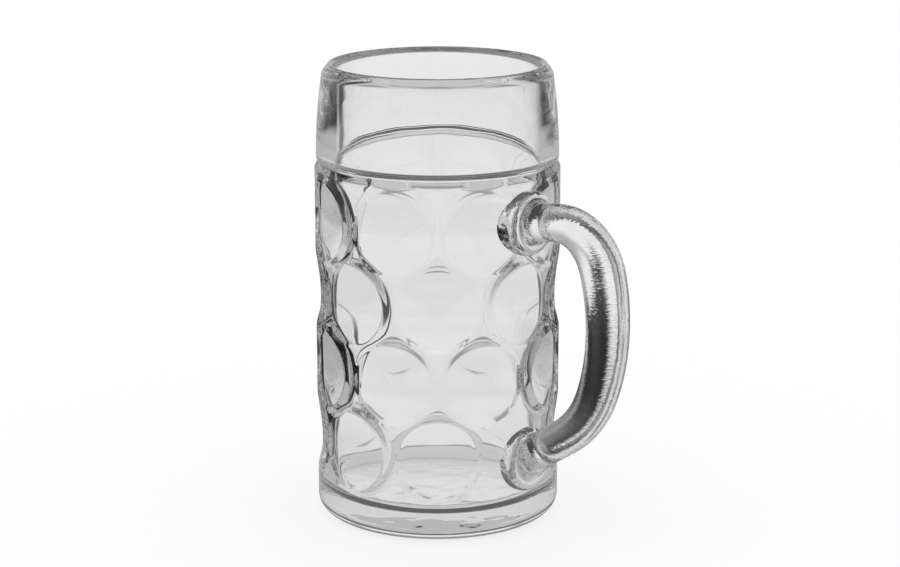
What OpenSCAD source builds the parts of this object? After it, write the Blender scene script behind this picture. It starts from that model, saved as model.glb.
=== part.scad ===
// Dimpled glass beer mug: a thick vessel with staggered round dimples and a bent bar handle.
// The origin is the centre of the flat base, +Z is up, and the handle is on +X.

/* [Dimpled wall] */
// Outside radius of the wall between the dimples
body_r = 53.5; // [49:0.5:62]
// Thickness of the wall, also behind each dimple
wall_t = 7.3; // [5:0.1:8.5]
// Thickness of the floor
floor_t = 10.8; // [8:0.1:18]
// Radius of the rounded heel round the base
heel_r = 7; // [3:0.5:9]
// Radius of the corner between the floor and the inside of the wall
floor_corner_r = 6; // [3:0.5:9]

/* [Dimples] */
// Dimples in one row, evenly spaced round the wall
dimples_per_row = 8; // [8:1:8]
// Rows of dimples, each turned by half a space from the row below
dimple_rows = 4; // [2:2:6]
// Diameter of a dimple, seen from straight ahead
dimple_d = 34.8; // [26:0.2:36]
// Depth of a dimple at its centre
dimple_depth = 2.9; // [2:0.1:4]
// Height of the lowest row's centres above the table
first_row_z = 36.7; // [34:0.1:42]
// Height from one row's centres to the next
row_pitch = 32.5; // [31:0.1:38]
// Plain wall between the top row's dimples and the groove
wall_above_rows = 6.4; // [4:0.1:14]

/* [Collar and lip] */
// Height of the collar, from the groove to the top of the lip
collar_h = 42; // [30:0.1:60]
// How far the foot of the collar stands inside the dimpled wall
collar_step = 0.7; // [0.4:0.1:1.5]
// Radius of the long curve by which the collar leans in
collar_curve_r = 255; // [200:5:400]
// Radius of the outer edge where the collar rounds over into the lip
collar_edge_r = 6; // [4:0.5:8]
// Radius of the groove's section
groove_r = 1.3; // [0.8:0.1:2]
// Depth of the groove below the foot of the collar
groove_depth = 0.8; // [0.4:0.1:1.2]
// Radius of the rounded shoulder under the groove
shoulder_r = 4; // [2:0.5:5]
// Thickness of the lip, which is rounded over
lip_t = 3.9; // [3:0.1:4.5]
// How far the inside of the collar stands in from the inside of the dimpled wall
neck_step = 1.6; // [1:0.1:2.4]

/* [Handle] */
// Diameter of the bar's two arms, next to the feet
arm_d = 16; // [14:0.2:17]
// Diameter of the bar at the top of the grip
grip_top_d = 18.8; // [16:0.2:21]
// Diameter of the bar at the bottom of the grip
grip_bottom_d = 17.4; // [15:0.2:20]
// Upward slope of the upper arm, in degrees
upper_arm_slope = 9; // [4:1:16]
// Upward slope of the lower arm, in degrees
lower_arm_slope = 33; // [26:1:38]
// Radius of the upper bend, along the middle of the bar
upper_bend_r = 23.5; // [20:0.5:26]
// Radius of the long grip, along the middle of the bar
grip_r = 86; // [80:1:95]
// Angle that the long grip turns through
grip_turn = 36; // [32:0.5:40]
// Radius of the lower bend, along the middle of the bar
lower_bend_r = 44; // [40:0.5:48]
// Lean of the bar from upright where the upper bend meets the grip, in degrees
grip_lean = 16; // [12:1:20]

/* [Handle feet] */
// Radius of the round foot at each end of the bar
foot_r = 14; // [12.6:0.1:16]
// How far a foot stands out from the wall
foot_t = 4.2; // [3.4:0.1:6]
// Radius of a foot's rounded edge
foot_edge_r = 2.8; // [1.5:0.1:3]
// Height of the upper foot's centre above the top row's centres
upper_foot_rise = 3.3; // [0:0.1:5]
// Depth of the lower foot's centre below the lowest row's centres
lower_foot_drop = 3.3; // [0:0.1:5]

/* [Hidden] */
$fn = 96;
// Flat sides round the bar, and steps along each of its bends
bar_sides = 40;
bend_steps = 12;
// Overrun of every cut past the face that it opens
overrun = 2;
glass = "LightCyan";

// Heights
top_row_z = first_row_z + (dimple_rows - 1) * row_pitch;
groove_z = top_row_z + dimple_d / 2 + wall_above_rows;
mug_h = groove_z + collar_h;
upper_foot_z = top_row_z + upper_foot_rise;
lower_foot_z = first_row_z - lower_foot_drop;

// Radii of the cavity, the collar and the lip
cavity_r = body_r - wall_t;
neck_r = cavity_r - neck_step;
collar_r = body_r - collar_step;
lip_r = lip_t / 2;
lip_centre_r = neck_r + lip_r;
neck_z = groove_z + neck_step;
collar_edge_z = mug_h - collar_edge_r;
collar_curve_x = collar_r - collar_curve_r;
collar_edge_x = collar_curve_x
    + sqrt(pow(collar_curve_r - collar_edge_r, 2) - pow(collar_edge_z - groove_z, 2));
groove_x = collar_r - groove_depth + groove_r;

// Each dimple is cut by a round bar that lies level across the wall
dimple_cut_r = (pow(dimple_d / 2, 2) + pow(dimple_depth, 2)) / (2 * dimple_depth);
dimple_axis_r = body_r - dimple_depth + dimple_cut_r;
dimple_cut_w = 2 * body_r * sin(180 / dimples_per_row);
foot_bury = body_r / 2;
arm_bury = arm_d / 2;
dimple_step = 360 / dimples_per_row;

// The bar's middle line in the handle's plane, as headings from +X towards +Z
upper_heading = upper_arm_slope;
grip_heading = grip_lean - 90;
bend_heading = grip_heading - grip_turn;
lower_heading = lower_arm_slope - 180;

// Run of a bend that starts at heading a and ends at heading b, turning downwards
function bend_run(r, a, b) = r * [sin(a) - sin(b), cos(b) - cos(a)];
function along(heading) = [cos(heading), sin(heading)];

// The two straight arms take the lengths that close the line between the feet
bends_run = bend_run(upper_bend_r, upper_heading, grip_heading)
    + bend_run(grip_r, grip_heading, bend_heading)
    + bend_run(lower_bend_r, bend_heading, lower_heading);
arms_run = [0, lower_foot_z - upper_foot_z] - bends_run;
arms_det = sin(lower_heading - upper_heading);
upper_arm_l = (arms_run.x * sin(lower_heading) - arms_run.y * cos(lower_heading)) / arms_det;
lower_arm_l = (arms_run.y * cos(upper_heading) - arms_run.x * sin(upper_heading)) / arms_det;

// Points where one stretch of the line meets the next
line_start = [body_r, upper_foot_z];
bend_start = line_start + upper_arm_l * along(upper_heading);
grip_start = bend_start + bend_run(upper_bend_r, upper_heading, grip_heading);
grip_end = grip_start + bend_run(grip_r, grip_heading, bend_heading);
bend_end = grip_end + bend_run(lower_bend_r, bend_heading, lower_heading);
line_end = bend_end + lower_arm_l * along(lower_heading);

// Half section of the outside, from the flat base to the groove
module body_outline() {
    square([body_r - heel_r, groove_z - shoulder_r]);
    translate([body_r - heel_r, heel_r]) circle(heel_r);
    translate([0, heel_r]) square([body_r, groove_z - shoulder_r - heel_r]);
    translate([0, groove_z - shoulder_r]) square([body_r - shoulder_r, shoulder_r]);
    translate([body_r - shoulder_r, groove_z - shoulder_r]) circle(shoulder_r);
}

// Half section of the outside, from the groove to the rounded lip
module collar_outline() {
    intersection() {
        translate([0, groove_z - shoulder_r])
            square([collar_r, collar_edge_z - groove_z + shoulder_r]);
        translate([collar_curve_x, groove_z]) circle(collar_curve_r, $fn = 720);
    }
    intersection() {
        translate([lip_centre_r, collar_edge_z]) square(collar_edge_r);
        translate([collar_edge_x, collar_edge_z]) circle(collar_edge_r);
    }
    translate([0, collar_edge_z]) square([lip_centre_r, collar_edge_r - lip_r]);
    translate([lip_centre_r, mug_h - lip_r]) circle(lip_r);
}

// Half section of the cavity: a rounded floor corner, the wide body and the narrower neck
module cavity_outline() {
    translate([0, floor_t]) square([cavity_r - floor_corner_r, neck_z - floor_t]);
    translate([cavity_r - floor_corner_r, floor_t + floor_corner_r]) circle(floor_corner_r);
    translate([0, floor_t + floor_corner_r])
        square([cavity_r, neck_z - neck_step - floor_t - floor_corner_r]);
    translate([cavity_r - neck_step, neck_z - neck_step]) circle(neck_step);
    translate([0, neck_z - neck_step]) square([neck_r, mug_h - neck_z + neck_step + overrun]);
}

// One level bar per dimple, thicker by grow, except where the lower foot covers the wall
module dimple_bars(grow) {
    for (row = [0:dimple_rows - 1], place = [0:dimples_per_row - 1]) {
        turn = (place + (row % 2) / 2) * dimple_step;
        under_lower_foot = row == 0 && place == 0;
        if (!under_lower_foot)
            rotate([0, 0, turn])
                translate([dimple_axis_r, 0, first_row_z + row * row_pitch])
                    rotate([90, 0, 0])
                        cylinder(h = dimple_cut_w, r = dimple_cut_r + grow, center = true);
    }
}

// The vessel's outside, dimpled and grooved, with no cavity
module vessel_outside() {
    difference() {
        rotate_extrude() {
            body_outline();
            collar_outline();
        }
        dimple_bars(0);
        rotate_extrude() translate([groove_x, groove_z]) circle(groove_r);
    }
}

// The cavity, with the wall bulging inwards behind each dimple
module cavity() {
    difference() {
        rotate_extrude() cavity_outline();
        dimple_bars(wall_t);
    }
}

module vessel() {
    color(glass)
        difference() {
            vessel_outside();
            cavity();
        }
}

// A squashed gob: a round pad with a rounded edge, from inside the wall out to its face
module foot_pad(z) {
    translate([foot_bury, 0, z])
        rotate([0, 90, 0])
            rotate_extrude() {
                square([foot_r, body_r + foot_t - foot_edge_r - foot_bury]);
                square([foot_r - foot_edge_r, body_r + foot_t - foot_bury]);
                translate([foot_r - foot_edge_r, body_r + foot_t - foot_edge_r - foot_bury])
                    circle(foot_edge_r);
            }
}

module handle_foot(z) {
    color(glass)
        difference() {
            foot_pad(z);
            vessel_outside();
        }
}

module upper_handle_foot() { handle_foot(upper_foot_z); }
module lower_handle_foot() { handle_foot(lower_foot_z); }

// Sections of the bar along one bend, each as its middle, its heading and its diameter
function bend_sections(start, heading, r, turn, d_start, d_end) = [
    for (step = [0:bend_steps])
        let (done = step / bend_steps)
            [start + bend_run(r, heading, heading - turn * done),
                heading - turn * done,
                d_start + (d_end - d_start) * done]
];

// Without the first, because the bend before has it already
function rest(list) = [for (i = [1:len(list) - 1]) list[i]];

// The bar starts and ends inside its feet
bar_sections = concat(
    [[line_start - arm_bury * along(upper_heading), upper_heading, arm_d]],
    bend_sections(bend_start, upper_heading, upper_bend_r, upper_heading - grip_heading,
        arm_d, grip_top_d),
    rest(bend_sections(grip_start, grip_heading, grip_r, grip_turn, grip_top_d, grip_bottom_d)),
    rest(bend_sections(grip_end, bend_heading, lower_bend_r, bend_heading - lower_heading,
        grip_bottom_d, arm_d)),
    [[line_end + arm_bury * along(lower_heading), lower_heading, arm_d]]
);

// One point of a section's circle, at an angle round the bar
function section_point(section, angle) =
    let (across = section[2] / 2 * cos(angle))
        [section[0].x - across * sin(section[1]),
            section[2] / 2 * sin(angle),
            section[0].y + across * cos(section[1])];

// A closed skin over round sections that follow a line in the handle's plane
module swept_bar(sections) {
    last = len(sections) - 1;
    points = [
        for (section = sections, side = [0:bar_sides - 1])
            section_point(section, side * 360 / bar_sides)
    ];
    skin = [
        for (ring = [0:last - 1], side = [0:bar_sides - 1])
            let (here = ring * bar_sides, next = (side + 1) % bar_sides)
                each [
                    [here + side, here + next, here + bar_sides + side],
                    [here + next, here + bar_sides + next, here + bar_sides + side]
                ]
    ];
    ends = [
        [for (side = [bar_sides - 1:-1:0]) side],
        [for (side = [0:bar_sides - 1]) last * bar_sides + side]
    ];
    polyhedron(points, concat(skin, ends));
}

module handle() {
    color(glass)
        difference() {
            swept_bar(bar_sections);
            foot_pad(upper_foot_z);
            foot_pad(lower_foot_z);
        }
}

vessel();
handle();
upper_handle_foot();
lower_handle_foot();
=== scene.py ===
"""Looks of the dimpled glass beer mug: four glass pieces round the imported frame, a white sweep, light cards
that only the glass shows, and the photograph's camera."""
import math

import bmesh
import bpy
import numpy as np
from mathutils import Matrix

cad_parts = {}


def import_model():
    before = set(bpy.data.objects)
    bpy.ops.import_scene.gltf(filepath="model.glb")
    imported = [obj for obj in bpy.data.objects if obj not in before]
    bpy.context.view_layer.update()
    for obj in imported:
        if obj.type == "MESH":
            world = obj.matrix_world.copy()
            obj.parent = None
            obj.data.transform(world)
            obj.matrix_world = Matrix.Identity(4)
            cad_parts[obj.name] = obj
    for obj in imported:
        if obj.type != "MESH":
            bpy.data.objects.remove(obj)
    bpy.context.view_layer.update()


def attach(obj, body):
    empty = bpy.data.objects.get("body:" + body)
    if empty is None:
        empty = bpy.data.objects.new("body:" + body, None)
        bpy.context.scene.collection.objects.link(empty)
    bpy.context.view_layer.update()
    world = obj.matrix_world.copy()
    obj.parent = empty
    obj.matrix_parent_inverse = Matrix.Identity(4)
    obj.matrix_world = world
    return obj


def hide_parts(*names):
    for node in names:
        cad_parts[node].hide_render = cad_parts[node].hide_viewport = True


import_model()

MM = 0.001

# Outside of the vessel, in millimetres, as the CAD model has it
BODY_R = 53.5
HEEL_R = 7.0
SHOULDER_R = 4.0
GROOVE_Z = 158.0
GROOVE_R = 1.3
GROOVE_DEPTH = 0.8
COLLAR_R = 52.8
COLLAR_CURVE_R = 255.0
COLLAR_EDGE_R = 6.0
MUG_H = 200.0
LIP_R = 1.95
# Angles at which the collar's edge arc stops and the lip's arc starts, in degrees
EDGE_END = 58
LIP_START = 52

# Inside of the vessel
WALL_T = 7.3
FLOOR_T = 10.8
FLOOR_CORNER_R = 6.0
NECK_STEP = 1.6
CAVITY_R = BODY_R - WALL_T
NECK_R = CAVITY_R - NECK_STEP
LIP_CENTRE_R = NECK_R + LIP_R
NECK_Z = GROOVE_Z + NECK_STEP

# Dimples
DIMPLES_PER_ROW = 8
DIMPLE_ROWS = 4
DIMPLE_D = 34.8
DIMPLE_DEPTH = 2.9
FIRST_ROW_Z = 36.7
ROW_PITCH = 32.5
DIMPLE_CUT_R = ((DIMPLE_D / 2) ** 2 + DIMPLE_DEPTH ** 2) / (2 * DIMPLE_DEPTH)
DIMPLE_AXIS_R = BODY_R - DIMPLE_DEPTH + DIMPLE_CUT_R
OUTER_SOFTNESS = 0.2
INNER_SOFTNESS = 0.9
BULGE_SPREAD = 0.4
# How far above and below a row's middle its dimples and their bulges may act
DIMPLE_REACH = 0.75 * ROW_PITCH
# The dimpled wall is all that lies further out than the neck's radius less this
WALL_MARGIN = 5.0
# The wall's outer skin is all that lies further out than the cavity's radius and this
SKIN_MARGIN = 2.0

# Handle, as the CAD model has it
ARM_D = 16.0
GRIP_TOP_D = 18.8
GRIP_BOTTOM_D = 17.4
UPPER_SLOPE = 9.0
LOWER_SLOPE = 33.0
UPPER_BEND_R = 23.5
GRIP_R = 86.0
GRIP_TURN = 36.0
LOWER_BEND_R = 44.0
GRIP_LEAN = 16.0
FOOT_R = 14.0
FOOT_T = 4.2
# How far the feet stand past the middles of the first and the last row
FOOT_SHIFT = 3.3
UPPER_FOOT_Z = FIRST_ROW_Z + (DIMPLE_ROWS - 1) * ROW_PITCH + FOOT_SHIFT
LOWER_FOOT_Z = FIRST_ROW_Z - FOOT_SHIFT

FOOT_FACE_X = BODY_R + FOOT_T
FOOT_EDGE_R = 2.8
FOOT_FACE_R = FOOT_R - FOOT_EDGE_R
COVE_REACH = 4.0
COVE_ROOM = 2.5
# End slope of a cubic that runs like a quarter of a circle of radius one
QUARTER_TURN = 1.66
SIDE = np.array([0, 1, 0])

# Mesh fineness
AROUND = 768
STEP = 0.5
BAR_AROUND = 112
BAR_STEP = 0.2
BAR_SKIP = 4
COVE_RINGS = 12
FOOT_RINGS = 14
FOOT_SIDE_RINGS = 5
FOOT_EDGE_RINGS = 8
WALL_SEARCHES = 8
# Spread of the rounding of corners, counted in points of the finely divided line
PROFILE_EASE = 4
BEND_EASE = 12

# The camera, solved from the photograph, in metres and degrees, with its sensor's width in millimetres
CAMERA_AZIMUTH = 45.0
CAMERA_DISTANCE = 1.0
CAMERA_HEIGHT = 0.3524
AIM_Z = 0.1017
FOCAL_PIXELS = 2340.0
PHOTO_WIDTH = 900
SENSOR = 36.0
AXIS_PIXEL = 437.3

# Glass
GLASS_TINT = 0.96
GLASS_IOR = 1.52
MELTED_DEPTH = "melted_depth"
# The vessel has no skin deeper inside a foot's rim than this, in millimetres
SEAM = 0.01
# Ripples are (length across, length upright, height), in metres
VESSEL_RIPPLES = ((0.022, 0.014, 0.00012), (0.003, 0.02, 0.00001))
BASE_RIPPLE = (0.013, 0.013, 0.0003)
# The base's ripple is on all skin lower than this, in metres
BASE_DEPTH = 0.0005
HANDLE_RIPPLES = ((0.012, 0.02, 0.0002), (0.002, 0.0007, 0.00009))
FOOT_RIPPLES = ((0.005, 0.005, 0.0012), (0.002, 0.0007, 0.00008))

# Stage, with its pieces in millimetres as the glass is
FLOOR_SIDE = 6000.0
FLOOR_Z = -0.3
SHADOW_SHARE = 0.2
RING_R = 600.0
RING_H = 700.0
TABLE_Z = -1.0

# Light. Fans are (how many stand evenly round the mug, azimuth of one, half its width), in degrees.
# Bands are (start, full, light): between start and full the light changes to the band's. Cards on the table
# are banded by nearness, which is the distance from the mug's middle in metres with a minus sign, cards on
# the wall by height in metres, and the world by the upright share of a ray's direction.
SKY_LIGHT = 1.0
CARD_LIGHT = 0.9
HOLLOW_BLUR = 2.5
SOLID_BLUR = 6.0
# Rays from solid glass see white cards in these fans, which change to the high ones between HIGH_START and
# HIGH_FULL, and weak fans that have only a share of that white
SOLID_FANS = ((2, 141, 20), (4, 141, 8))
HIGH_SOLID_FANS = ((2, 135, 26), (4, 135, 10), (4, 90, 14))
HIGH_START, HIGH_FULL = -0.01, 0.02
WEAK_FANS = (((1, 90, 10), 0.03), ((2, 0, 14), 0.5), ((1, 270, 14), 0.5))
SOLID_GAP = 0.03
# Rays turned back inside the glass see this light, and another in the side fans
BOUNCED = 0.02
SIDE_FANS = (((1, 50, 35), 0.4), ((1, 225, 45), 0.01))
# Rays through both walls see the world inside the hollow fans and past the opening, a white shine in place of
# it where the shine's bands say so, and the hollow gap's light elsewhere
TABLE_CARDS = {
    "cards": ((-0.36, -0.12, 0.28), (-0.058, -0.05, 0.6)),
    "gaps": ((-0.13, -0.07, 0.2), (-0.058, -0.05, 0.6)),
    "bounced": ((-0.16, -0.1, 0.5), (-0.07, -0.05, 0.1)),
    "hollow_fans": ((8, 135, 12), (2, 135, 18), (1, 109, 10), (1, 154, 4)),
    "hollow_gap": 0.05,
    "opening": (-0.3, -0.2),
    "shine": (),
}
WALL_CARDS = {
    "cards": ((0.1, 0.3, 0.5),),
    "gaps": ((0.02, 0.08, 0.45),),
    "bounced": ((0.0, 0.02, 0.5), (0.14, 0.18, 0.7), (0.3, 0.4, 0.12)),
    "hollow_fans": ((8, 135, 12), (2, 135, 26), (1, 109, 10), (1, 154, 4)),
    "hollow_gap": 0.1,
    "opening": (0.6, 0.7),
    "shine": ((-0.001, 0.008, 1.0), (0.2, 0.25, 0.0)),
}
# The world has bands inside its fans for rays through both walls, and one level each for the other glass rays
SKY_BANDS = ((-0.15, -0.095, 0.45), (-0.06, 0.0, 0.8), (0.1, 0.16, 0.08))
GROUND_BANDS = ((0.35, 0.4, 0.4), (0.43, 0.48, 0.7))
BANDED_FANS = ((4, 135, 15),)
SOLID_SKY = 0.3
BOUNCED_SKY = 0.12
# A ray that has passed more faces of glass than this has gone through both walls
INNER_FACES = 3
# Light passes many faces of glass in the dimples and the handle
BOUNCES = 40


def soft_min(a, b, reach):
    """The lower of a and b, with the corner between them rounded over within reach."""
    h = np.clip(1 - np.abs(a - b) / reach, 0, 1)
    return np.minimum(a, b) - h * h * reach / 4


def arc(centre, radius, start, end, step=0.1):
    """Points on an arc from one angle to another, in degrees."""
    count = max(2, int(abs(math.radians(end - start)) * radius / step))
    angles = np.radians(np.linspace(start, end, count))
    return np.c_[centre[0] + radius * np.cos(angles), centre[1] + radius * np.sin(angles)]


def line(start, end, step=0.1):
    """Points on a straight line."""
    count = max(2, int(math.dist(start, end) / step))
    return np.linspace(start, end, count)


def smooth_line(points, sigma, span=4):
    """Rounds the corners of a finely divided line, and keeps its two ends."""
    reach = int(span * sigma)
    kernel = np.exp(-0.5 * (np.arange(-reach, reach + 1) / sigma) ** 2)
    kernel /= kernel.sum()
    padded = np.concatenate([
        2 * points[0] - points[reach:0:-1],
        points,
        2 * points[-1] - points[-2:-reach - 2:-1],
    ])
    return np.stack([np.convolve(padded[:, k], kernel, "valid") for k in range(points.shape[1])], 1)


def resample(points, step, turn_step=0.1):
    """Points along a line, a step apart where it is straight and closer together where it turns."""
    legs = np.diff(points, axis=0)
    lengths = np.linalg.norm(legs, axis=1)
    heading = np.unwrap(np.arctan2(legs[:, 1], legs[:, 0]))
    turning = np.abs(np.gradient(heading))
    run = np.concatenate([[0], np.cumsum(lengths / step + turning / turn_step)])
    at = np.linspace(0, run[-1], int(run[-1]) + 2)
    return np.stack([np.interp(at, run, points[:, k]) for k in range(points.shape[1])], 1)


def outside_profile():
    """Half section of the outside, from the base's centre to the top of the lip."""
    collar_x = COLLAR_R - COLLAR_CURVE_R
    edge_z = MUG_H - COLLAR_EDGE_R
    edge_x = collar_x + math.sqrt((COLLAR_CURVE_R - COLLAR_EDGE_R) ** 2 - (edge_z - GROOVE_Z) ** 2)
    shoulder_z = GROOVE_Z - SHOULDER_R
    shoulder_end = math.degrees(math.acos((COLLAR_R - BODY_R + SHOULDER_R) / SHOULDER_R))
    groove_x = COLLAR_R - GROOVE_DEPTH + GROOVE_R
    groove_turn = math.degrees(math.acos((groove_x - COLLAR_R) / GROOVE_R))
    collar_start = GROOVE_Z + GROOVE_R * math.sin(math.radians(groove_turn))
    collar_top = math.degrees(math.asin((edge_z - GROOVE_Z) / (COLLAR_CURVE_R - COLLAR_EDGE_R)))
    collar_low = math.degrees(math.asin((collar_start - GROOVE_Z) / COLLAR_CURVE_R))
    return np.concatenate([
        line((0, 0), (BODY_R - HEEL_R, 0)),
        arc((BODY_R - HEEL_R, HEEL_R), HEEL_R, -90, 0),
        line((BODY_R, HEEL_R), (BODY_R, shoulder_z)),
        arc((BODY_R - SHOULDER_R, shoulder_z), SHOULDER_R, 0, shoulder_end),
        arc((groove_x, GROOVE_Z), GROOVE_R, 180 + groove_turn, 180 - groove_turn),
        arc((collar_x, GROOVE_Z), COLLAR_CURVE_R, collar_low, collar_top),
        arc((edge_x, edge_z), COLLAR_EDGE_R, collar_top, EDGE_END),
        arc((LIP_CENTRE_R, MUG_H - LIP_R), LIP_R, LIP_START, 90),
    ])


def inside_profile():
    """Half section of the cavity, from the top of the lip down to the floor's centre."""
    step_z = NECK_Z - NECK_STEP
    corner = (CAVITY_R - FLOOR_CORNER_R, FLOOR_T + FLOOR_CORNER_R)
    return np.concatenate([
        arc((LIP_CENTRE_R, MUG_H - LIP_R), LIP_R, 90, 180),
        line((NECK_R, MUG_H - LIP_R), (NECK_R, NECK_Z)),
        arc((NECK_R, step_z), NECK_STEP, 90, 0),
        line((CAVITY_R, step_z), (CAVITY_R, corner[1])),
        arc(corner, FLOOR_CORNER_R, 0, -90),
        line((corner[0], FLOOR_T), (0, FLOOR_T)),
    ])


def dimpled(r, azimuth, z, grow, softness):
    """Radius r cut in by level round bars, one across each dimple, which are thicker by grow."""
    cut_r = DIMPLE_CUT_R + grow
    spacing = 2 * math.pi / DIMPLES_PER_ROW
    for row in range(DIMPLE_ROWS):
        up = z - (FIRST_ROW_Z + row * ROW_PITCH)
        turn = azimuth / spacing - (row % 2) / 2
        place = np.round(turn)
        aside = (turn - place) * spacing
        level = DIMPLE_AXIS_R - np.sqrt(np.maximum(cut_r ** 2 - up ** 2, 0))
        cut = level / np.cos(aside)
        open_here = np.abs(up) < DIMPLE_REACH
        if row == 0:
            # The lower foot sits in place of the first dimple
            open_here = open_here & (place % DIMPLES_PER_ROW != 0)
        r = np.where(open_here, soft_min(r, cut, softness), r)
    return r


def outside_radius(azimuth, z):
    """Radius of the dimpled outer skin."""
    return dimpled(np.full_like(z, BODY_R), azimuth, z, 0, OUTER_SOFTNESS)


def mesh_object(name, points, faces):
    """A mesh object from millimetre points, with smooth faces."""
    mesh = bpy.data.meshes.new(name)
    mesh.from_pydata((np.asarray(points) * MM).tolist(), [], faces)
    mesh.update()
    mesh.shade_smooth()
    made = bpy.data.objects.new(name, mesh)
    bpy.context.scene.collection.objects.link(made)
    return made


def ring_faces(rings, around):
    """Quads between neighbouring rings of points."""
    here = np.arange(rings - 1)[:, None] * around + np.arange(around)[None, :]
    after = np.arange(rings - 1)[:, None] * around + (np.arange(around)[None, :] + 1) % around
    return np.stack([here, after, after + around, here + around], -1).reshape(-1, 4)


def store_melted_depth(piece, points):
    """Stores how deep inside a foot's rim each point of the outer skin lies, and less than zero elsewhere."""
    melted = np.full(len(points), -FOOT_R)
    on_skin = (points[:, 0] > 0) & (np.hypot(points[:, 0], points[:, 1]) > CAVITY_R + SKIN_MARGIN)
    for foot_z in (UPPER_FOOT_Z, LOWER_FOOT_Z):
        depth = FOOT_R - np.hypot(points[:, 1], points[:, 2] - foot_z)
        melted = np.where(on_skin, np.maximum(melted, depth), melted)
    attribute = piece.data.attributes.new(MELTED_DEPTH, "FLOAT", "POINT")
    attribute.data.foreach_set("value", melted.astype(np.float32))


def vessel(glass):
    """The vessel as one closed skin, from the base's centre over the lip to the floor's centre."""
    outside = resample(smooth_line(outside_profile(), PROFILE_EASE), STEP)
    inside = resample(smooth_line(inside_profile(), PROFILE_EASE), STEP)
    profile = np.concatenate([outside[1:], inside[1:-1]])
    is_inside = np.arange(len(profile)) >= len(outside) - 1
    azimuth = np.arange(AROUND) * 2 * math.pi / AROUND
    r, z = np.repeat(profile[:, :1], AROUND, 1), np.repeat(profile[:, 1:], AROUND, 1)
    turn = np.repeat(azimuth[None, :], len(profile), 0)
    out_r = dimpled(r, turn, z, 0, OUTER_SOFTNESS)
    in_r = dimpled(r, turn, z, WALL_T + BULGE_SPREAD, INNER_SOFTNESS)
    is_wall = (r > NECK_R - WALL_MARGIN) & (z < GROOVE_Z)
    r = np.where(is_wall, np.where(is_inside[:, None], in_r, out_r), r)
    points = np.stack([r * np.cos(turn), r * np.sin(turn), z], -1).reshape(-1, 3)
    faces = ring_faces(len(profile), AROUND).tolist()
    base, floor_centre = len(points), len(points) + 1
    points = np.concatenate([points, [[0, 0, 0], [0, 0, FLOOR_T]]])
    last = (len(profile) - 1) * AROUND
    for k in range(AROUND):
        following = (k + 1) % AROUND
        faces.append([base, following, k])
        faces.append([floor_centre, last + k, last + following])
    made = mesh_object("glass_vessel", points, faces)
    store_melted_depth(made, points)
    made.data.materials.append(glass)
    return made


def bend_run(radius, start, end):
    """Run of a bend that turns downwards from one heading to another."""
    a, b = math.radians(start), math.radians(end)
    return radius * np.array([math.sin(a) - math.sin(b), math.cos(b) - math.cos(a)])


def along(heading):
    """A step of length one along a heading, in x and z."""
    return np.array([math.cos(math.radians(heading)), math.sin(math.radians(heading))])


def bar_line():
    """The bar's middle line from wall to wall: x, z, heading in degrees and diameter."""
    headings = [UPPER_SLOPE, GRIP_LEAN - 90, GRIP_LEAN - 90 - GRIP_TURN, LOWER_SLOPE - 180]
    radii = [UPPER_BEND_R, GRIP_R, LOWER_BEND_R]
    turns = list(zip(radii, headings[:-1], headings[1:]))
    arms = np.array([0, LOWER_FOOT_Z - UPPER_FOOT_Z]) - sum(bend_run(*turn) for turn in turns)
    upper_l, lower_l = np.linalg.solve(np.stack([along(headings[0]), along(headings[-1])], 1), arms)
    lengths = [radius * math.radians(start - end) for radius, start, end in turns]
    knots = np.cumsum([0, upper_l, *lengths, lower_l])
    run = np.arange(0, knots[-1], BAR_STEP)
    turning = np.interp(run, knots, [headings[0], *headings, headings[-1]])
    width = np.interp(run, knots, [ARM_D, ARM_D, GRIP_TOP_D, GRIP_BOTTOM_D, ARM_D, ARM_D])
    turning, width = smooth_line(np.stack([turning, width], 1), BEND_EASE).T
    steps = np.stack([np.cos(np.radians(turning)), np.sin(np.radians(turning))], 1) * BAR_STEP
    places = np.array([BODY_R, UPPER_FOOT_Z]) + np.cumsum(steps, 0) - steps
    miss = np.array([BODY_R, LOWER_FOOT_Z]) - places[-1]
    places += miss * (run / run[-1])[:, None]
    return np.c_[places, turning, width]


def bar_section(place, radius, angles):
    """A ring of points square to the bar's line, from its outer side on."""
    heading = math.radians(place[2])
    normal = np.array([-math.sin(heading), 0, math.cos(heading)])
    centre = np.array([place[0], 0, place[1]])
    return centre + radius * (np.cos(angles)[:, None] * normal + np.sin(angles)[:, None] * SIDE)


def flare(section, outwards, foot_z, up, angles):
    """Rings from the foot's face out to a clean section of the bar, in a cove like a squashed gob's."""
    rim = np.stack([np.zeros_like(angles), np.sin(angles), up * np.cos(angles)], -1)
    foot_centre = np.array([FOOT_FACE_X, 0, foot_z])
    start = foot_centre + FOOT_FACE_R * rim
    reach = (section[:, :1] - FOOT_FACE_X) / outwards[0]
    landing = section - reach * outwards
    room = FOOT_FACE_R - np.sum((landing - foot_centre) * rim, 1, keepdims=True)
    leave = QUARTER_TURN * (np.clip(COVE_ROOM - room, 0, None) * outwards - room * rim)
    arrive = QUARTER_TURN * reach * outwards
    rings = []
    for u in np.linspace(0, 1, COVE_RINGS, endpoint=False):
        # A cubic from start to section with the slopes leave and arrive
        rings.append((1 + 2 * u) * (1 - u) ** 2 * start + u * (1 - u) ** 2 * leave
                     + u * u * (3 - 2 * u) * section + u * u * (u - 1) * arrive)
    return rings


def mark_melted(piece, glass, melted, skin_faces):
    """Gives the faces past the skin the melted joint's material, behind a sharp edge."""
    piece.data.materials.append(glass)
    piece.data.materials.append(melted)
    indices = np.ones(len(piece.data.polygons), dtype=np.int32)
    indices[:skin_faces] = 0
    piece.data.polygons.foreach_set("material_index", indices)
    made = bmesh.new()
    made.from_mesh(piece.data)
    for edge in made.edges:
        if len({face.material_index for face in edge.link_faces}) > 1:
            edge.smooth = False
    made.to_mesh(piece.data)
    made.free()


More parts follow.
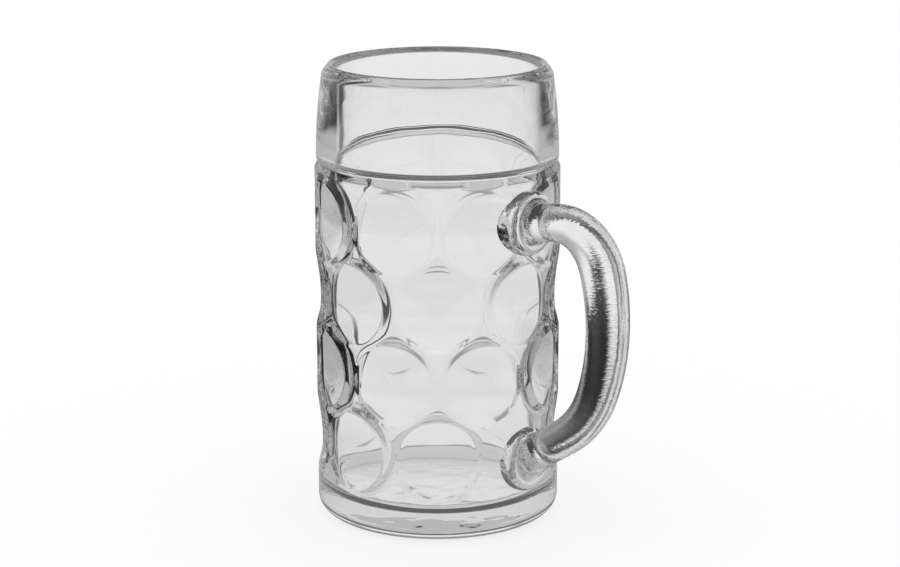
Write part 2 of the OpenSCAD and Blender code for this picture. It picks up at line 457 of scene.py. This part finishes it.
def bar(glass, melted):
    """The bar of the handle, closed by the two faces that it shares with its feet."""
    path = bar_line()
    angles = np.arange(BAR_AROUND) * 2 * math.pi / BAR_AROUND
    inner_edge = path[:, 0] - path[:, 3] / 2 * np.abs(np.sin(np.radians(path[:, 2])))
    on_arm = np.abs(path[:, 2] - GRIP_LEAN + 90 + GRIP_TURN / 2) > GRIP_TURN / 2
    clean = np.flatnonzero((inner_edge > FOOT_FACE_X + COVE_REACH) | ~on_arm)
    picks = np.arange(clean[0], clean[-1] + 1, BAR_SKIP)
    rings = [bar_section(path[k], path[k, 3] / 2, angles) for k in picks]
    upper, lower = along(path[picks[0], 2]), -along(path[picks[-1], 2])
    upper, lower = np.array([upper[0], 0, upper[1]]), np.array([lower[0], 0, lower[1]])
    rings = (flare(rings[0], upper, UPPER_FOOT_Z, 1, angles) + rings
             + flare(rings[-1], lower, LOWER_FOOT_Z, -1, angles)[::-1])
    faces = ring_faces(len(rings), BAR_AROUND)[:, ::-1].tolist()
    end = (len(rings) - 1) * BAR_AROUND
    caps = [list(range(BAR_AROUND)), list(range(end, end + BAR_AROUND))[::-1]]
    made = mesh_object("handle_bar", np.concatenate(rings), faces + caps)
    mark_melted(made, glass, melted, len(faces))
    return made


def wall_x(y, z):
    """How far out the vessel's outer skin lies at each y and z on the handle's side."""
    x = np.full_like(y, BODY_R)
    for _ in range(WALL_SEARCHES):
        r = outside_radius(np.arctan2(y, x) % (2 * math.pi), z)
        x = np.sqrt(r ** 2 - y ** 2)
    return x


def foot(name, foot_z, glass, melted):
    """A squashed foot: its base follows the vessel's skin, and its face carries the bar."""
    angles = np.arange(BAR_AROUND) * 2 * math.pi / BAR_AROUND
    around = np.stack([np.zeros_like(angles), np.sin(angles), np.cos(angles)], 1)
    centre = np.array([0, 0, foot_z])
    rings = []
    for radius in np.linspace(0, FOOT_R, FOOT_RINGS + 1)[1:]:
        ring = centre + radius * around
        ring[:, 0] = wall_x(ring[:, 1], ring[:, 2])
        rings.append(ring)
    base_count = len(rings)
    edge_x = FOOT_FACE_X - FOOT_EDGE_R
    for share in np.linspace(0, 1, FOOT_SIDE_RINGS + 1)[1:]:
        ring = rings[base_count - 1].copy()
        ring[:, 0] += share * (edge_x - ring[:, 0])
        rings.append(ring)
    for turn in np.linspace(0, math.pi / 2, FOOT_EDGE_RINGS + 1)[1:]:
        ring = centre + (FOOT_FACE_R + FOOT_EDGE_R * math.cos(turn)) * around
        ring[:, 0] = edge_x + FOOT_EDGE_R * math.sin(turn)
        rings.append(ring)
    quads = ring_faces(len(rings), BAR_AROUND)
    split = (base_count - 1) * BAR_AROUND
    skin = quads[split:].tolist()
    joint = quads[:split].tolist()
    points = np.concatenate(rings)
    hub = len(points)
    points = np.concatenate([points, [[wall_x(np.zeros(1), np.full(1, foot_z))[0], 0, foot_z]]])
    joint += [[hub, k, (k + 1) % BAR_AROUND][::-1] for k in range(BAR_AROUND)]
    end = (len(rings) - 1) * BAR_AROUND
    joint.append(list(range(end, end + BAR_AROUND)))
    made = mesh_object(name, points, skin + joint)
    mark_melted(made, glass, melted, len(skin))
    return made


def new_material(name):
    """A new material and its node tree."""
    material = bpy.data.materials.new(name)
    material.use_nodes = True
    return material, material.node_tree


def add_node(tree, kind, inputs, **settings):
    """Adds a node, sets its inputs or links those that are sockets, and gives its first output."""
    made = tree.nodes.new(kind)
    for name, value in settings.items():
        setattr(made, name, value)
    for key, value in inputs.items():
        if isinstance(value, bpy.types.NodeSocket):
            tree.links.new(value, made.inputs[key])
        else:
            made.inputs[key].default_value = value
    return made.outputs[0] if made.outputs else None


def maths(tree, operation, *values):
    """One step of arithmetic."""
    return add_node(tree, "ShaderNodeMath", dict(enumerate(values)), operation=operation)


def ease(tree, value, low, high, start=0.0, end=1.0):
    """Goes smoothly from start to end while value goes from low to high."""
    return add_node(tree, "ShaderNodeMapRange", {"Value": value, "From Min": low, "From Max": high,
                                                 "To Min": start, "To Max": end},
                    interpolation_type="SMOOTHSTEP")


def blend_to(tree, factor, start, end):
    """Start where the factor is zero, and end where it is one."""
    return add_node(tree, "ShaderNodeMix", {"Factor": factor, "A": start, "B": end})


def object_place(tree):
    """Where a point lies in its object's frame, in metres."""
    return tree.nodes.new("ShaderNodeTexCoord").outputs["Object"]


def height(tree, place):
    """How high a place lies, or how steeply a direction rises."""
    return add_node(tree, "ShaderNodeSeparateXYZ", {0: place}).node.outputs["Z"]


def nearness(tree, place):
    """The distance from the mug's middle, with a minus sign."""
    far = add_node(tree, "ShaderNodeVectorMath", {0: place}, operation="LENGTH").node.outputs["Value"]
    return maths(tree, "MULTIPLY", far, -1)


def rippled(tree, place, sizes, skin=None, share=None):
    """The skin's normal with one more set of ripples on it, where share is one."""
    across, upright, rise = sizes
    fitted = {"Vector": place, "Scale": (1 / across, 1 / across, 1 / upright)}
    scaled = add_node(tree, "ShaderNodeMapping", fitted)
    wave = add_node(tree, "ShaderNodeTexNoise", {"Vector": scaled, "Scale": 1.0, "Detail": 1.0})
    if share is not None:
        wave = maths(tree, "MULTIPLY", wave, share)
    bump = {"Height": wave, "Distance": rise}
    if skin is not None:
        bump["Normal"] = skin
    return add_node(tree, "ShaderNodeBump", bump)


def glass_material(name, ripples):
    """Clear pressed glass with the slight waves and grain of a fire-polished skin."""
    material, tree = new_material(name)
    shader = tree.nodes["Principled BSDF"]
    shader.inputs["Base Color"].default_value = (GLASS_TINT, GLASS_TINT, GLASS_TINT, 1)
    shader.inputs["Roughness"].default_value = 0.0
    shader.inputs["IOR"].default_value = GLASS_IOR
    shader.inputs["Transmission Weight"].default_value = 1.0
    place = object_place(tree)
    skin = None
    for sizes in ripples:
        skin = rippled(tree, place, sizes, skin)
    tree.links.new(skin, shader.inputs["Normal"])
    return material


def vessel_material(name):
    """The vessel's glass: deeper waves under the base, and no skin where the feet are melted on."""
    material = glass_material(name, VESSEL_RIPPLES)
    tree = material.node_tree
    shader = tree.nodes["Principled BSDF"]
    skin = shader.inputs["Normal"].links[0].from_socket
    place = object_place(tree)
    under = maths(tree, "LESS_THAN", height(tree, place), BASE_DEPTH)
    tree.links.new(rippled(tree, place, BASE_RIPPLE, skin, under), shader.inputs["Normal"])
    depth = add_node(tree, "ShaderNodeAttribute", {}, attribute_name=MELTED_DEPTH).node.outputs["Fac"]
    tree.links.new(maths(tree, "LESS_THAN", depth, SEAM), shader.inputs["Alpha"])
    return material


def melted_material(name):
    """The face inside one melted joint, where glass goes on into glass and nothing shows."""
    material, tree = new_material(name)
    shader = tree.nodes["Principled BSDF"]
    shader.inputs["Transmission Weight"].default_value = 1.0
    shader.inputs["Alpha"].default_value = 0.0
    return material


def see(made, **rays):
    """Sets which kinds of ray see a stage piece, and hides it from all others."""
    for kind in ("camera", "diffuse", "glossy", "transmission", "shadow", "volume_scatter"):
        setattr(made, "visible_" + kind, rays.get(kind, False))


def glass_rays(tree, own_step=0):
    """One for rays straight through both walls, and one for rays turned back inside the glass. Own_step is
    what the ray depth counts beyond the turns and the faces passed."""
    ray = tree.nodes.new("ShaderNodeLightPath")
    faces = ray.outputs["Transmission Depth"]
    turned = maths(tree, "GREATER_THAN", maths(tree, "SUBTRACT", ray.outputs["Ray Depth"], faces), own_step)
    through = maths(tree, "GREATER_THAN", faces, INNER_FACES)
    return maths(tree, "GREATER_THAN", maths(tree, "SUBTRACT", through, turned), 0), turned


def fans(tree, turn, sets, softness):
    """One inside the fans, which stand in even sets round the mug, and zero between them."""
    level = None
    for count, azimuth, half_width in sets:
        # Turn goes from zero to one round the mug and is a half at azimuth zero
        offset = -count * (azimuth / 360 + 0.5)
        folded = maths(tree, "PINGPONG", maths(tree, "MULTIPLY_ADD", turn, count, offset), 0.5)
        edge = half_width * count / 360
        blur = softness * count / 360
        fan = ease(tree, folded, edge - blur, edge + blur, 1.0, 0.0)
        level = fan if level is None else maths(tree, "MAXIMUM", level, fan)
    return level


def card_fans(tree, place, sets, softness):
    """One where a fan is, as seen from the mug, and zero in the gaps."""
    sweep = add_node(tree, "ShaderNodeTexGradient", {"Vector": place}, gradient_type="RADIAL")
    return fans(tree, sweep.node.outputs["Fac"], sets, softness)


def banded(tree, light, distance, bands):
    """Light that changes to each band's level in turn."""
    for low, high, level in bands:
        light = blend_to(tree, ease(tree, distance, low, high), light, level)
    return light


def solid_fans(tree, place, distance):
    """One where rays inside solid glass see a full card, and a share where a weak fan is."""
    high = ease(tree, distance, HIGH_START, HIGH_FULL)
    low_fans, high_fans = (card_fans(tree, place, sets, SOLID_BLUR) for sets in (SOLID_FANS, HIGH_SOLID_FANS))
    level = blend_to(tree, high, low_fans, high_fans)
    for weak_fan, share in WEAK_FANS:
        weak = maths(tree, "MULTIPLY", card_fans(tree, place, (weak_fan,), SOLID_BLUR), share)
        level = maths(tree, "MAXIMUM", level, weak)
    return level


def bounced_light(tree, place, distance, bands):
    """The light that rays turned back inside the glass see."""
    light = BOUNCED
    for side_fan, level in SIDE_FANS:
        light = blend_to(tree, card_fans(tree, place, (side_fan,), SOLID_BLUR), light, level)
    return banded(tree, light, distance, bands)


def cards_material(name, far, look):
    """White cards with darker gaps. Rays through both walls pass the cards inside the hollow fans, and rays
    turned inside the glass see only bounced light."""
    material, tree = new_material(name)
    tree.nodes.clear()
    place = object_place(tree)
    distance = far(tree, place)
    white = banded(tree, CARD_LIGHT, distance, look["cards"])
    dark = banded(tree, SOLID_GAP, distance, look["gaps"])
    solid_light = blend_to(tree, solid_fans(tree, place, distance), dark, white)
    hollow_fans = card_fans(tree, place, look["hollow_fans"], HOLLOW_BLUR)
    shine = maths(tree, "MULTIPLY", hollow_fans, banded(tree, 0.0, distance, look["shine"]))
    clear_fans = maths(tree, "SUBTRACT", hollow_fans, shine)
    # What isn't clear is divided between shine and gap
    shining = maths(tree, "DIVIDE", shine, maths(tree, "SUBTRACT", 1, clear_fans))
    hollow_light = blend_to(tree, shining, look["hollow_gap"], CARD_LIGHT)
    straight, turned = glass_rays(tree)
    light = blend_to(tree, straight, solid_light, hollow_light)
    light = blend_to(tree, turned, light, bounced_light(tree, place, distance, look["bounced"]))
    window = maths(tree, "MAXIMUM", clear_fans, ease(tree, distance, *look["opening"]))
    window = maths(tree, "MULTIPLY", straight, window)
    glow = add_node(tree, "ShaderNodeEmission", {"Strength": light})
    clear = add_node(tree, "ShaderNodeBsdfTransparent", {})
    both = add_node(tree, "ShaderNodeMixShader", {0: window, 1: glow, 2: clear})
    add_node(tree, "ShaderNodeOutputMaterial", {"Surface": both})
    return material


def cards():
    """The ring of cards and the part of the table that the glass shows, both unseen by the camera."""
    angles = np.arange(AROUND) * 2 * math.pi / AROUND
    ring = np.stack([np.cos(angles), np.sin(angles), np.zeros_like(angles)], 1) * RING_R
    foot_ring = ring + [0, 0, TABLE_Z]
    table = mesh_object("table_cards", np.concatenate([foot_ring, [[0, 0, TABLE_Z]]]),
                        [[AROUND, k, (k + 1) % AROUND] for k in range(AROUND)])
    table.data.materials.append(cards_material("table_cards", nearness, TABLE_CARDS))
    wall = mesh_object("wall_cards", np.concatenate([foot_ring, ring + [0, 0, RING_H]]),
                       ring_faces(2, AROUND).tolist())
    wall.data.materials.append(cards_material("wall_cards", height, WALL_CARDS))
    for made in (table, wall):
        see(made, transmission=True, glossy=True)


def floor():
    """A white sweep that keeps a trace of the mug's shadow."""
    half = FLOOR_SIDE / 2
    made = mesh_object("floor", [[-half, -half, FLOOR_Z], [half, -half, FLOOR_Z],
                                 [half, half, FLOOR_Z], [-half, half, FLOOR_Z]], [[0, 1, 2, 3]])
    material, tree = new_material("white_sweep")
    tree.nodes.clear()
    glow = add_node(tree, "ShaderNodeEmission", {})
    lit = add_node(tree, "ShaderNodeBsdfDiffuse", {"Color": (1, 1, 1, 1)})
    both = add_node(tree, "ShaderNodeMixShader", {0: SHADOW_SHARE, 1: glow, 2: lit})
    add_node(tree, "ShaderNodeOutputMaterial", {"Surface": both})
    made.data.materials.append(material)
    see(made, camera=True, diffuse=True, shadow=True)


def world():
    """White behind the mug for the camera, banded light through the glass, and even light for the rest."""
    made = bpy.data.worlds.new("studio")
    bpy.context.scene.world = made
    made.use_nodes = True
    tree = made.node_tree
    ray = tree.nodes.new("ShaderNodeLightPath")
    direction = tree.nodes.new("ShaderNodeTexCoord").outputs["Generated"]
    rise = height(tree, direction)
    light = banded(tree, CARD_LIGHT, rise, SKY_BANDS)
    light = banded(tree, light, maths(tree, "MULTIPLY", rise, -1), GROUND_BANDS)
    light = blend_to(tree, card_fans(tree, direction, BANDED_FANS, HOLLOW_BLUR), CARD_LIGHT, light)
    straight, turned = glass_rays(tree, 1)
    level = blend_to(tree, straight, blend_to(tree, turned, SOLID_SKY, BOUNCED_SKY), light)
    level = blend_to(tree, ray.outputs["Is Diffuse Ray"], level, SKY_LIGHT)
    level = blend_to(tree, ray.outputs["Is Camera Ray"], level, 1.0)
    background = tree.nodes["Background"]
    tree.links.new(level, background.inputs["Strength"])
    background.inputs["Color"].default_value = (1, 1, 1, 1)


def camera():
    """The photograph's camera, which looks down on the mug from the front right."""
    data = bpy.data.cameras.new("camera")
    data.sensor_width = SENSOR
    data.lens = FOCAL_PIXELS * SENSOR / PHOTO_WIDTH
    made = bpy.data.objects.new("camera", data)
    bpy.context.scene.collection.objects.link(made)
    turn = math.radians(CAMERA_AZIMUTH)
    made.location = (CAMERA_DISTANCE * math.sin(turn), -CAMERA_DISTANCE * math.cos(turn), CAMERA_HEIGHT)
    pitch = math.atan2(CAMERA_HEIGHT - AIM_Z, CAMERA_DISTANCE)
    aside = math.atan((PHOTO_WIDTH / 2 - AXIS_PIXEL) / FOCAL_PIXELS)
    made.rotation_euler = (math.pi / 2 - pitch, 0, turn - aside)
    bpy.context.scene.camera = made


def dress(piece, node):
    """Lets a piece stand for its CAD node."""
    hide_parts(node)
    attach(piece, "root")


scene = bpy.context.scene
scene.view_settings.view_transform = "Standard"
vessel_glass = vessel_material("clear_glass")
handle_glass = glass_material("handle_glass", HANDLE_RIPPLES)
foot_glass = glass_material("foot_glass", FOOT_RIPPLES)
melted_joint = melted_material("melted_joint")
dress(vessel(vessel_glass), "vessel")
dress(bar(handle_glass, melted_joint), "handle")
dress(foot("foot_upper", UPPER_FOOT_Z, foot_glass, melted_joint), "upper_handle_foot")
dress(foot("foot_lower", LOWER_FOOT_Z, foot_glass, melted_joint), "lower_handle_foot")
floor()
cards()
world()
camera()
scene.cycles.max_bounces = BOUNCES
scene.cycles.transmission_bounces = BOUNCES
scene.cycles.glossy_bounces = BOUNCES
scene.cycles.transparent_max_bounces = BOUNCES
